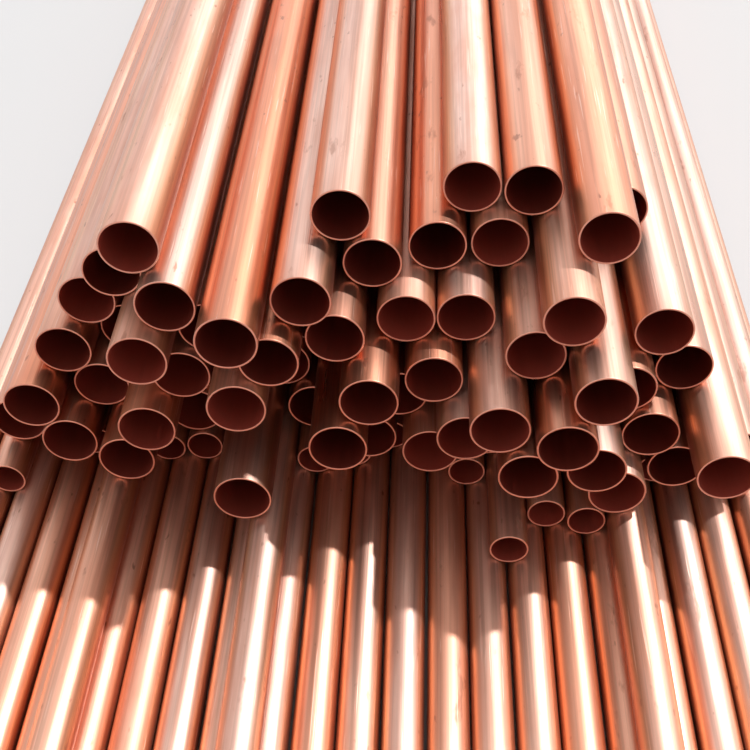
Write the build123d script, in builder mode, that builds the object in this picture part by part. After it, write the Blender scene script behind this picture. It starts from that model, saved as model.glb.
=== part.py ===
from build123d import *
from math import dist, hypot, sqrt
import os

# A loose heap of straight copper tubes, ragged at both ends. Two layers of
# small tubes lie at the bottom, and six layers of large ones are heaped on them.
# X runs across the heap, Y along the tubes with the near ends at -Y, Z is up.
# All sizes are in millimetres.

# ---- the tubes ----
SMALL_OD = 19.0         # outside diameter in the two lowest layers
LARGE_OD = 28.0         # outside diameter above them
WALL = 1.0              # wall thickness of both
TUBE_LENGTH = 3000.0    # straight length as sold

# flat sides of the tubes that only repeat the round ones
SMALL_SIDES = 12
LARGE_SIDES = 16

# ---- how the tubes lie ----
CLEARANCE = 0.3         # air left between two tubes that rest on each other

# gaps between the neighbours of the bottom layer, from the left
BED_GAPS = [0.4, 0.9, 0.3, 0.7, 1.1, 0.3, 0.6, 0.8, 0.4, 1.0, 0.3,
            0.5, 1.2, 0.4, 0.8, 0.3, 0.9, 0.5, 0.7, 0.3, 1.0, 0.4]

# gaps between the neighbours of the lowest large layer, which lies across the
# small tubes wherever it falls
LAYER_3_GAPS = [1.6, 2.8, 1.0, 3.4, 2.2, 0.8, 3.0, 1.8, 3.2, 1.2, 2.6, 2.2]

# how far each near end stands out towards the viewer from the one that lies
# deepest in the heap, from the left; None is a place that has no tube
BED_OUT = [335, 318, 342, 326, 350, 330, 312, 345, 322, 338, 316, 348,
           328, 340, 320, 334, 324, 346, 315, 338, 328, 342, 332]
LAYER_2_OUT = [62, 80, 46, 50, 322, 54, 52, 66, 332, 60, 54,
               40, 50, 66, 118, 94, 98, 340, 60, 56, 68, 52]
LAYER_3_OUT = [60, 75, 86, 50, 110, 45, 65, 76, 60, 60, 100, 82, 70]
LAYER_4_OUT = [75, 58, 90, 45, 38, 100, 60, 90, 115, 110, 84, 112]
LAYER_5_OUT = [60, 42, 76, 100, 30, 94, 75, 110, 120, 80, 62]
LAYER_6_OUT = [52, 95, 70, 94, 76, 60, 58, 85, 115, 66]
LAYER_7_OUT = [60, 86, 110, 80, 48, 35, 30, 90, 0]
LAYER_8_OUT = [75, None, None, 45, None, 20, 22, 60]

# places, counted from 0 at the left, whose tubes are truly round, so that what
# fits a tube end can be tried on them
BED_ROUND = [0, 11, 22]
LAYER_2_ROUND = [15]
LAYER_3_ROUND = [10]
LAYER_4_ROUND = [1]
LAYER_5_ROUND = [6]
LAYER_6_ROUND = [4]
LAYER_7_ROUND = [2, 7]
LAYER_8_ROUND = [3, 7]

ALL_OUT = (BED_OUT + LAYER_2_OUT + LAYER_3_OUT + LAYER_4_OUT + LAYER_5_OUT
           + LAYER_6_OUT + LAYER_7_OUT + LAYER_8_OUT)
STANDING_OUT = [out for out in ALL_OUT if out is not None]
DEEPEST_END_Y = (max(STANDING_OUT) + min(STANDING_OUT) - TUBE_LENGTH) / 2


def side_by_side(outside, gaps):
    """Where tubes of one outside diameter lie in a row, centred on x = 0."""
    places = [0.0]
    for gap in gaps:
        places.append(places[-1] + outside + gap)
    middle = places[-1] / 2
    return [x - middle for x in places]


def seat(left, right, reach):
    """Centre of a tube that rests on two others, given theirs."""
    span_x = right[0] - left[0]
    span_z = right[1] - left[1]
    span = hypot(span_x, span_z)
    rise = sqrt(reach ** 2 - (span / 2) ** 2)
    x = (left[0] + right[0]) / 2 - span_z / span * rise
    z = (left[1] + right[1]) / 2 + span_x / span * rise
    return (x, z)


def nested_on(below, outside):
    """Centres of the tubes nested in the valleys of a layer of the same tubes."""
    reach = outside + CLEARANCE
    centres = []
    for left, right in zip(below, below[1:]):
        centre = seat(left, right, reach)
        if centres and dist(centre, centres[-1]) < reach:
            centre = seat(centres[-1], right, reach)
        centres.append(centre)
    return centres


def laid_on_small(places, below):
    """Centres of large tubes at these places, each let down onto the small tubes."""
    reach = (LARGE_OD + SMALL_OD) / 2 + CLEARANCE
    centres = []
    for x in places:
        heights = [z + sqrt(reach ** 2 - (x - below_x) ** 2)
                   for below_x, z in below if abs(x - below_x) < reach]
        centres.append((x, max(heights)))
    return centres


def near_ends(centres, outs, round_places):
    """Planes of the near ends, seam underneath, and whether each tube is round."""
    ends = []
    for place, (x, z) in enumerate(centres):
        if outs[place] is None:
            continue
        origin = (x, DEEPEST_END_Y - outs[place], z)
        plane = Plane(origin=origin, x_dir=(0, 0, -1), z_dir=(0, 1, 0))
        ends.append((plane, place in round_places))
    return ends


def tube_section(outside, sides, is_round):
    """The ring of one tube, as true circles or with few flat sides."""
    if is_round:
        Circle(outside / 2)
        Circle(outside / 2 - WALL, mode=Mode.SUBTRACT)
    else:
        RegularPolygon(outside / 2, sides)
        RegularPolygon(outside / 2 - WALL, sides, mode=Mode.SUBTRACT)


bed = [(x, SMALL_OD / 2) for x in side_by_side(SMALL_OD, BED_GAPS)]
second = nested_on(bed, SMALL_OD)
third = laid_on_small(side_by_side(LARGE_OD, LAYER_3_GAPS), second)
fourth = nested_on(third, LARGE_OD)
fifth = nested_on(fourth, LARGE_OD)
sixth = nested_on(fifth, LARGE_OD)
seventh = nested_on(sixth, LARGE_OD)
eighth = nested_on(seventh, LARGE_OD)

with BuildPart() as bed_tubes:
    for near_end, is_round in near_ends(bed, BED_OUT, BED_ROUND):
        with BuildSketch(near_end):
            tube_section(SMALL_OD, SMALL_SIDES, is_round)
        extrude(amount=TUBE_LENGTH)

with BuildPart() as layer_2_tubes:
    for near_end, is_round in near_ends(second, LAYER_2_OUT, LAYER_2_ROUND):
        with BuildSketch(near_end):
            tube_section(SMALL_OD, SMALL_SIDES, is_round)
        extrude(amount=TUBE_LENGTH)

with BuildPart() as layer_3_tubes:
    for near_end, is_round in near_ends(third, LAYER_3_OUT, LAYER_3_ROUND):
        with BuildSketch(near_end):
            tube_section(LARGE_OD, LARGE_SIDES, is_round)
        extrude(amount=TUBE_LENGTH)

with BuildPart() as layer_4_tubes:
    for near_end, is_round in near_ends(fourth, LAYER_4_OUT, LAYER_4_ROUND):
        with BuildSketch(near_end):
            tube_section(LARGE_OD, LARGE_SIDES, is_round)
        extrude(amount=TUBE_LENGTH)

with BuildPart() as layer_5_tubes:
    for near_end, is_round in near_ends(fifth, LAYER_5_OUT, LAYER_5_ROUND):
        with BuildSketch(near_end):
            tube_section(LARGE_OD, LARGE_SIDES, is_round)
        extrude(amount=TUBE_LENGTH)

with BuildPart() as layer_6_tubes:
    for near_end, is_round in near_ends(sixth, LAYER_6_OUT, LAYER_6_ROUND):
        with BuildSketch(near_end):
            tube_section(LARGE_OD, LARGE_SIDES, is_round)
        extrude(amount=TUBE_LENGTH)

with BuildPart() as layer_7_tubes:
    for near_end, is_round in near_ends(seventh, LAYER_7_OUT, LAYER_7_ROUND):
        with BuildSketch(near_end):
            tube_section(LARGE_OD, LARGE_SIDES, is_round)
        extrude(amount=TUBE_LENGTH)

# the top layer is not full: three of its places have no tube
with BuildPart() as top_tubes:
    for near_end, is_round in near_ends(eighth, LAYER_8_OUT, LAYER_8_ROUND):
        with BuildSketch(near_end):
            tube_section(LARGE_OD, LARGE_SIDES, is_round)
        extrude(amount=TUBE_LENGTH)

bed_tubes.part.label = "bed_tubes"
layer_2_tubes.part.label = "layer_2_tubes"
layer_3_tubes.part.label = "layer_3_tubes"
layer_4_tubes.part.label = "layer_4_tubes"
layer_5_tubes.part.label = "layer_5_tubes"
layer_6_tubes.part.label = "layer_6_tubes"
layer_7_tubes.part.label = "layer_7_tubes"
top_tubes.part.label = "top_tubes"

os.makedirs("parts", exist_ok=True)
export_step(bed_tubes.part, "parts/bed_tubes.step")
export_step(layer_2_tubes.part, "parts/layer_2_tubes.step")
export_step(layer_3_tubes.part, "parts/layer_3_tubes.step")
export_step(layer_4_tubes.part, "parts/layer_4_tubes.step")
export_step(layer_5_tubes.part, "parts/layer_5_tubes.step")
export_step(layer_6_tubes.part, "parts/layer_6_tubes.step")
export_step(layer_7_tubes.part, "parts/layer_7_tubes.step")
export_step(top_tubes.part, "parts/top_tubes.step")
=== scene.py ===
import math
import random

import bpy
import numpy as np
from mathutils import Euler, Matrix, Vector


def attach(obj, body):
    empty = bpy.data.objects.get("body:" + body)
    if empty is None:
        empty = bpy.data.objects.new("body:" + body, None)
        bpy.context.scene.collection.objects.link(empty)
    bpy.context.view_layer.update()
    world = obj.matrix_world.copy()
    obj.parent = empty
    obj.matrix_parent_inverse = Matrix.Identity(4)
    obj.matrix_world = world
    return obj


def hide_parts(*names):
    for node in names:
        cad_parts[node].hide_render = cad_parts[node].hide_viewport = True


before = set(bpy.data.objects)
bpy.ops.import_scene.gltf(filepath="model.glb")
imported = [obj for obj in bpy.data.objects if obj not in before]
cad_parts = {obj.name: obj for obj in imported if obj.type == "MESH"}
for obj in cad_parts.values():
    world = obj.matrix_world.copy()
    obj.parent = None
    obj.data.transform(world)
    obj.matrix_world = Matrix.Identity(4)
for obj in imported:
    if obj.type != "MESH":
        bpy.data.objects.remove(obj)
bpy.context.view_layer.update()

# ---- the tubes; all lengths are in metres ----
INSET = 0.00004          # skin set in a hair, so the layer stays in the solids' box
WALL = 0.001
EDGE = 0.00028           # how far the sawn edges are rounded
LEAN = 0.00035           # most that a cut leans, at its middle
SMALL_RADIUS = 0.012     # below this it is one of the small tubes
AROUND = 64              # facets round a tube
FLAT = 0.00001           # faces thinner than this along Y are sawn ends
SAME_TUBE = 0.002        # ends with axes nearer than this belong to one tube

LAYERS = ["bed_tubes", "layer_2_tubes", "layer_3_tubes", "layer_4_tubes",
          "layer_5_tubes", "layer_6_tubes", "layer_7_tubes", "top_tubes"]


def cut_faces(node):
    """Every sawn tube end in a layer, as (x, y, z, outside radius)."""
    mesh = node.data
    places = [node.matrix_world @ v.co for v in mesh.vertices]
    group = list(range(len(places)))

    def root(i):
        while group[i] != i:
            group[i] = group[group[i]]
            i = group[i]
        return i

    used = set()
    for face in mesh.polygons:
        ys = [places[i].y for i in face.vertices]
        if max(ys) - min(ys) > FLAT:
            continue
        first = root(face.vertices[0])
        for i in face.vertices:
            group[root(i)] = first
            used.add(i)
    rings = {}
    for i in used:
        rings.setdefault(root(i), []).append(places[i])
    ends = []
    for ring in rings.values():
        xs = [p.x for p in ring]
        zs = [p.z for p in ring]
        middle_z = (min(zs) + max(zs)) / 2
        ends.append(((min(xs) + max(xs)) / 2, ring[0].y, middle_z, middle_z - min(zs)))
    return ends


def tubes_of(node):
    """Each tube of a layer as (x, z, radius, near end y, far end y), left to right."""
    ends = {}
    for x, y, z, radius in cut_faces(node):
        for key in ends:
            if math.dist(key[:2], (x, z)) < SAME_TUBE:
                ends[key].append(y)
                break
        else:
            ends[(x, z, radius)] = [y]
    return [(*key, min(ys), max(ys)) for key, ys in sorted(ends.items())]


def tube_profile(outer, bore, near, far):
    """The wall's outline along one tube, round its near end and back along its bore.

    A point is (y, radius, normal along y, normal outwards, 1 inside and 0 outside).
    """
    half = math.sqrt(0.5)
    cut_in = EDGE * (1 - half)
    edge = [(EDGE, 0.0, 0.0, 1.0), (cut_in, cut_in, -half, half), (0.0, EDGE, -1.0, 0.0)]
    points = []
    for y, down, ny, nr in edge:
        points.append((near + y, outer - down, ny, nr, 0.0))
    for y, down, ny, nr in reversed(edge):
        points.append((near + y, bore + down, ny, -nr, 1.0))
    for y, down, ny, nr in edge:
        points.append((far - y, bore + down, -ny, -nr, 1.0))
    for y, down, ny, nr in reversed(edge):
        points.append((far - y, outer - down, -ny, nr, 0.0))
    return points


def skewed(y, near, far, a, cuts):
    """Where a point of an end lies once the cut is a little out of square, inwards only."""
    (near_lean, near_turn), (far_lean, far_turn) = cuts
    if y < (near + far) / 2:
        return y + near_lean * (1 + math.cos(a - near_turn))
    return y - far_lean * (1 + math.cos(a - far_turn))


def layer_mesh(name, tubes, rng):
    """All the tubes of one layer as one mesh of smooth, open tubes."""
    verts, normals, faces, inner = [], [], [], []
    skin, tone, tint, inside, flank = [], [], [], [], []
    from_near, from_far = [], []
    angles = [2 * math.pi * i / AROUND for i in range(AROUND)]
    for x, z, radius, near, far in tubes:
        base = len(verts)
        profile = tube_profile(radius - INSET, radius - WALL, near, far)
        is_small = radius < SMALL_RADIUS
        own_tone = rng.uniform(0.6, 1.1) if is_small else rng.random()
        own_tint = rng.uniform(0.45, 1.0) if is_small else rng.random()
        shift = rng.uniform(5, 60)
        turn = rng.uniform(0, 2 * math.pi)
        cuts = [(rng.uniform(0, LEAN), rng.uniform(0, 2 * math.pi)) for _ in range(2)]
        for y, r, ny, nr, is_inside in profile:
            for a in angles:
                end_y = skewed(y, near, far, a, cuts)
                verts.append((x + r * math.cos(a), end_y, z + r * math.sin(a)))
                normals.append((nr * math.cos(a), ny, nr * math.sin(a)))
                skin.append((r * math.cos(a + turn), r * math.sin(a + turn), y + shift))
                tone.append(own_tone)
                tint.append(own_tint)
                inside.append(is_inside)
                flank.append(0.0 if is_inside else abs(math.cos(a)))
                from_near.append(y - near)
                from_far.append(far - y)
        rings = len(profile)
        for ring in range(rings):
            after = (ring + 1) % rings
            inner += [int(profile[ring][4] > 0.5 and profile[after][4] > 0.5)] * AROUND
            for i in range(AROUND):
                j = (i + 1) % AROUND
                faces.append((base + ring * AROUND + i, base + ring * AROUND + j,
                              base + after * AROUND + j, base + after * AROUND + i))
    mesh = bpy.data.meshes.new(name)
    mesh.from_pydata(verts, [], faces)
    numbers = {"tone": tone, "tint": tint, "inside": inside, "flank": flank,
               "from_near": from_near, "from_far": from_far}
    for key, values in numbers.items():
        mesh.attributes.new(key, "FLOAT", "POINT").data.foreach_set("value", values)
    flat = np.array(skin, dtype=np.float32).ravel()
    mesh.attributes.new("skin", "FLOAT_VECTOR", "POINT").data.foreach_set("vector", flat)
    mesh.shade_smooth()
    mesh.polygons.foreach_set("material_index", inner)
    mesh.normals_split_custom_set_from_vertices(normals)
    return mesh


# ---- copper ----

def node(tree, kind, **values):
    made = tree.nodes.new(kind)
    for key, value in values.items():
        setattr(made, key, value)
    return made


def ramp(tree, source, stops):
    """A colour ramp fed by source; stops are (position, colour or grey)."""
    made = node(tree, "ShaderNodeValToRGB")
    elements = made.color_ramp.elements
    while len(elements) < len(stops):
        elements.new(0.5)
    for element, (position, colour) in zip(elements, stops):
        element.position = position
        element.color = (*colour, 1) if len(colour) == 3 else (colour[0],) * 3 + (1,)
    tree.links.new(source, made.inputs["Fac"])
    return made.outputs["Color"]


def rising(tree, source, start, end):
    """0 up to start, 1 from end on."""
    return ramp(tree, source, [(start, (0.0,)), (end, (1.0,))])


def noise(tree, vector, along, scale, detail, rough):
    """Noise over a tube's skin, whose length counts only by the factor along."""
    squeezed = node(tree, "ShaderNodeVectorMath", operation="MULTIPLY")
    tree.links.new(vector, squeezed.inputs[0])
    squeezed.inputs[1].default_value = (1.0, 1.0, along)
    made = node(tree, "ShaderNodeTexNoise")
    tree.links.new(squeezed.outputs[0], made.inputs["Vector"])
    made.inputs["Scale"].default_value = scale
    made.inputs["Detail"].default_value = detail
    made.inputs["Roughness"].default_value = rough
    return made.outputs["Fac"]


def mixed(tree, how, factor, a, b):
    made = node(tree, "ShaderNodeMix", data_type="RGBA", blend_type=how)
    made.clamp_factor = True
    for socket, value in ((made.inputs[0], factor), (made.inputs[6], a), (made.inputs[7], b)):
        if hasattr(value, "links"):
            tree.links.new(value, socket)
        else:
            socket.default_value = value
    return made.outputs[2]


def maths(tree, how, a, b=None, c=None):
    made = node(tree, "ShaderNodeMath", operation=how)
    for socket, value in zip(made.inputs, (a, b, c)):
        if value is None:
            continue
        if hasattr(value, "links"):
            tree.links.new(value, socket)
        else:
            socket.default_value = value
    return made.outputs[0]


def painted(tree, colour, mask, amount, paint):
    """The colour with paint laid over it by amount, where the mask is 1."""
    return mixed(tree, "MIX", maths(tree, "MULTIPLY", mask, amount), colour, (*paint, 1))


def fade(tree, source, start, end):
    """1 up to start, 0 from end on."""
    made = node(tree, "ShaderNodeMapRange")
    tree.links.new(source, made.inputs["Value"])
    made.inputs["From Min"].default_value = start
    made.inputs["From Max"].default_value = end
    made.inputs["To Min"].default_value = 1.0
    made.inputs["To Max"].default_value = 0.0
    return made.outputs["Result"]


def attribute(tree, name, output="Fac"):
    return node(tree, "ShaderNodeAttribute", attribute_name=name).outputs[output]


def copper(name, coat):
    """Bright drawn copper, lightly tarnished; coat is how much of it oil covers."""
    material = bpy.data.materials.new(name)
    material.use_nodes = True
    tree = material.node_tree
    shader = tree.nodes["Principled BSDF"]
    skin = attribute(tree, "skin", "Vector")
    tone = attribute(tree, "tone")
    inside = attribute(tree, "inside")
    from_end = maths(tree, "MINIMUM", attribute(tree, "from_near"), attribute(tree, "from_far"))

    # lines that the drawing die leaves along the tube, and light scratches
    fine = noise(tree, skin, 0.010, 620.0, 2.0, 0.6)
    broad = noise(tree, skin, 0.025, 150.0, 3.0, 0.55)
    scratch = noise(tree, skin, 0.03, 900.0, 1.0, 0.5)
    # clouds of tarnish, stains, smudges and specks
    cloud = noise(tree, skin, 0.25, 42.0, 4.0, 0.6)
    stains = noise(tree, skin, 0.30, 85.0, 4.0, 0.62)
    smudge = noise(tree, skin, 0.10, 60.0, 3.0, 0.6)
    specks = noise(tree, skin, 0.40, 230.0, 2.0, 0.5)

    # each tube has its own shade of copper
    colour = ramp(tree, attribute(tree, "tint"), [
        (0.0, (0.93, 0.37, 0.21)), (0.5, (0.92, 0.49, 0.34)), (1.0, (0.90, 0.62, 0.52))])
    lines = ramp(tree, fine, [(0.38, (0.45,)), (0.54, (1.0,))])
    colour = mixed(tree, "MULTIPLY", 0.30, colour, lines)
    bands = ramp(tree, broad, [(0.38, (0.66, 0.48, 0.42)), (0.54, (1.0, 1.0, 1.0))])
    colour = mixed(tree, "MULTIPLY", 0.40, colour, bands)
    # painted shade and painted reflection: the sides towards the neighbours are darkened and
    # turned orange-red, for the shade in the gaps and the light bounced between tubes
    painted_gap_shade = ramp(tree, attribute(tree, "flank"), [
        (0.50, (1.0, 1.0, 1.0)), (0.80, (0.82, 0.66, 0.44)),
        (0.93, (0.62, 0.40, 0.23)), (1.0, (0.38, 0.11, 0.06))])
    colour = mixed(tree, "MULTIPLY", 0.85, colour, painted_gap_shade)

    tarnish = maths(tree, "MULTIPLY_ADD", tone, 0.35, 0.10)
    colour = painted(tree, colour, rising(tree, cloud, 0.44, 0.62), tarnish, (0.66, 0.27, 0.16))
    colour = painted(tree, colour, rising(tree, smudge, 0.54, 0.64), 0.30, (0.46, 0.21, 0.15))
    stained = rising(tree, stains, 0.64, 0.71)
    colour = painted(tree, colour, stained, 0.45, (0.30, 0.11, 0.06))
    colour = painted(tree, colour, rising(tree, specks, 0.69, 0.76), 0.70, (0.34, 0.13, 0.08))
    scratched = rising(tree, scratch, 0.68, 0.74)
    colour = painted(tree, colour, scratched, 0.40, (0.98, 0.72, 0.60))
    # handling dulls the last centimetres before a sawn end
    worn = fade(tree, maths(tree, "MULTIPLY_ADD", cloud, 0.05, from_end), 0.024, 0.045)
    colour = painted(tree, colour, worn, 0.25, (0.52, 0.22, 0.14))
    # painted shade: the bore is coloured dark brown-maroon for the dark deep inside the tube
    colour = painted(tree, colour, inside, 1.0, (0.50, 0.11, 0.075))
    # bare metal on the cut itself
    cut = fade(tree, from_end, 0.0, EDGE)
    colour = painted(tree, colour, cut, 0.9, (0.78, 0.43, 0.33))
    tree.links.new(colour, shader.inputs["Base Color"])

    dull = maths(tree, "MULTIPLY_ADD", tone, 0.24, 0.14)
    for cause, amount in ((cloud, 0.20), (fine, 0.10), (stained, 0.12),
                          (worn, 0.06), (inside, 0.12)):
        dull = maths(tree, "MULTIPLY_ADD", cause, amount, dull)
    tree.links.new(dull, shader.inputs["Roughness"])
    shader.inputs["Metallic"].default_value = 1.0
    # a thin film of drawing oil
    shader.inputs["Coat Weight"].default_value = coat
    shader.inputs["Coat Roughness"].default_value = 0.36

    bump = node(tree, "ShaderNodeBump")
    bump.inputs["Strength"].default_value = 0.4
    bump.inputs["Distance"].default_value = 0.0002
    height = maths(tree, "MULTIPLY_ADD", broad, 0.8, fine)
    height = maths(tree, "MULTIPLY_ADD", scratched, -0.4, height)
    tree.links.new(height, bump.inputs["Height"])
    tree.links.new(bump.outputs["Normal"], shader.inputs["Normal"])
    return material


outside_copper = copper("drawn_copper", coat=0.42)
inside_copper = copper("bore_copper", coat=0.0)
rng = random.Random(7)
for layer in LAYERS:
    tubes = tubes_of(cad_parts[layer])
    name = layer.replace("_tubes", "_copper_tubes")
    piece = bpy.data.objects.new(name, layer_mesh(name, tubes, rng))
    bpy.context.scene.collection.objects.link(piece)
    piece.data.materials.append(outside_copper)
    piece.data.materials.append(inside_copper)
    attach(piece, "root")
    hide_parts(layer)

# ---- floor ----
FLOOR = 300              # half its width
floor_mesh = bpy.data.meshes.new("floor")
corners = [(-FLOOR, -FLOOR, 0), (FLOOR, -FLOOR, 0), (FLOOR, FLOOR, 0), (-FLOOR, FLOOR, 0)]
floor_mesh.from_pydata(corners, [], [(0, 1, 2, 3)])
floor = bpy.data.objects.new("floor", floor_mesh)
bpy.context.scene.collection.objects.link(floor)
pale = bpy.data.materials.new("pale_floor")
pale.use_nodes = True
pale_shader = pale.node_tree.nodes["Principled BSDF"]
pale_shader.inputs["Base Color"].default_value = (0.62, 0.62, 0.62, 1)
pale_shader.inputs["Roughness"].default_value = 0.9
floor_mesh.materials.append(pale)

# ---- lamps, aimed at the middle of the ends that the photograph shows ----
FRONT = Vector((0.0, -1.40, 0.10))
KEY_DISTANCE = 10.0
PANEL_DISTANCE = 60.0    # so far off that the panels leave no pools on the floor


def direction(azimuth, elevation):
    """Unit vector; azimuth is counted from straight behind the heap, to the right."""
    azimuth, elevation = math.radians(azimuth), math.radians(elevation)
    return Vector((math.sin(azimuth) * math.cos(elevation),
                   math.cos(azimuth) * math.cos(elevation), math.sin(elevation)))


def lamp(name, kind, power, colour, azimuth, elevation, distance):
    data = bpy.data.lights.new(name, kind)
    data.energy = power
    data.color = colour
    made = bpy.data.objects.new(name, data)
    made.location = FRONT + distance * direction(azimuth, elevation)
    made.rotation_euler = (FRONT - made.location).to_track_quat("-Z", "Y").to_euler()
    made.visible_camera = False
    bpy.context.scene.collection.objects.link(made)
    return data


def softbox(name, power, colour, azimuth, elevation, size):
    """A far panel of this width and height."""
    data = lamp(name, "AREA", power, colour, azimuth, elevation, PANEL_DISTANCE)
    data.shape = "RECTANGLE"
    data.size, data.size_y = size


key = lamp("key", "SUN", 3.3, (0.95, 0.98, 1.0), 50, 56, KEY_DISTANCE)
key.angle = math.radians(1.6)
softbox("back_left", 2520, (0.60, 0.80, 1.0), -27, 26, (48.6, 45.6))
softbox("back_right", 4320, (0.95, 0.98, 1.0), 29, 27, (45.6, 45.6))
softbox("above_right", 5760, (1.0, 0.99, 0.97), 38, 62, (42.0, 42.0))
softbox("front", 4300, (1.0, 0.60, 0.46), 180, 35, (48.0, 48.0))

# ---- surroundings: dim as a light, pale where they are seen or mirrored ----
DIM = 0.28
PALER_BY = 0.56
world = bpy.data.worlds.new("studio")
bpy.context.scene.world = world
world.use_nodes = True
air = world.node_tree
background = air.nodes["Background"]
background.inputs["Color"].default_value = (1.0, 0.965, 0.94, 1)
rays = node(air, "ShaderNodeLightPath").outputs
seen = maths(air, "MAXIMUM", rays["Is Camera Ray"], rays["Is Glossy Ray"])
seen = maths(air, "MAXIMUM", seen, rays["Is Transmission Ray"])
air.links.new(maths(air, "MULTIPLY_ADD", seen, PALER_BY, DIM), background.inputs["Strength"])

# ---- camera ----
TUBE = 0.028             # its place was found in large tube diameters
EYE = Vector((0.67 * TUBE, -1.375 - 16.58 * TUBE, 17.63 * TUBE - 0.0129))
LOOK_DOWN = 40.99
LOOK_LEFT = 2.14
SENSOR_MM = 36
FOCAL_OF_WIDTH = 1230 / 750      # focal length as a part of the picture's width
camera_data = bpy.data.cameras.new("camera")
camera_data.lens = FOCAL_OF_WIDTH * SENSOR_MM
camera_data.sensor_width = SENSOR_MM
camera_data.clip_start = 0.01
camera = bpy.data.objects.new("camera", camera_data)
camera.location = EYE
camera.rotation_euler = Euler((math.radians(90 - LOOK_DOWN), 0, math.radians(LOOK_LEFT)), "XYZ")
bpy.context.scene.collection.objects.link(camera)
bpy.context.scene.camera = camera
bpy.context.scene.view_settings.view_transform = "Standard"
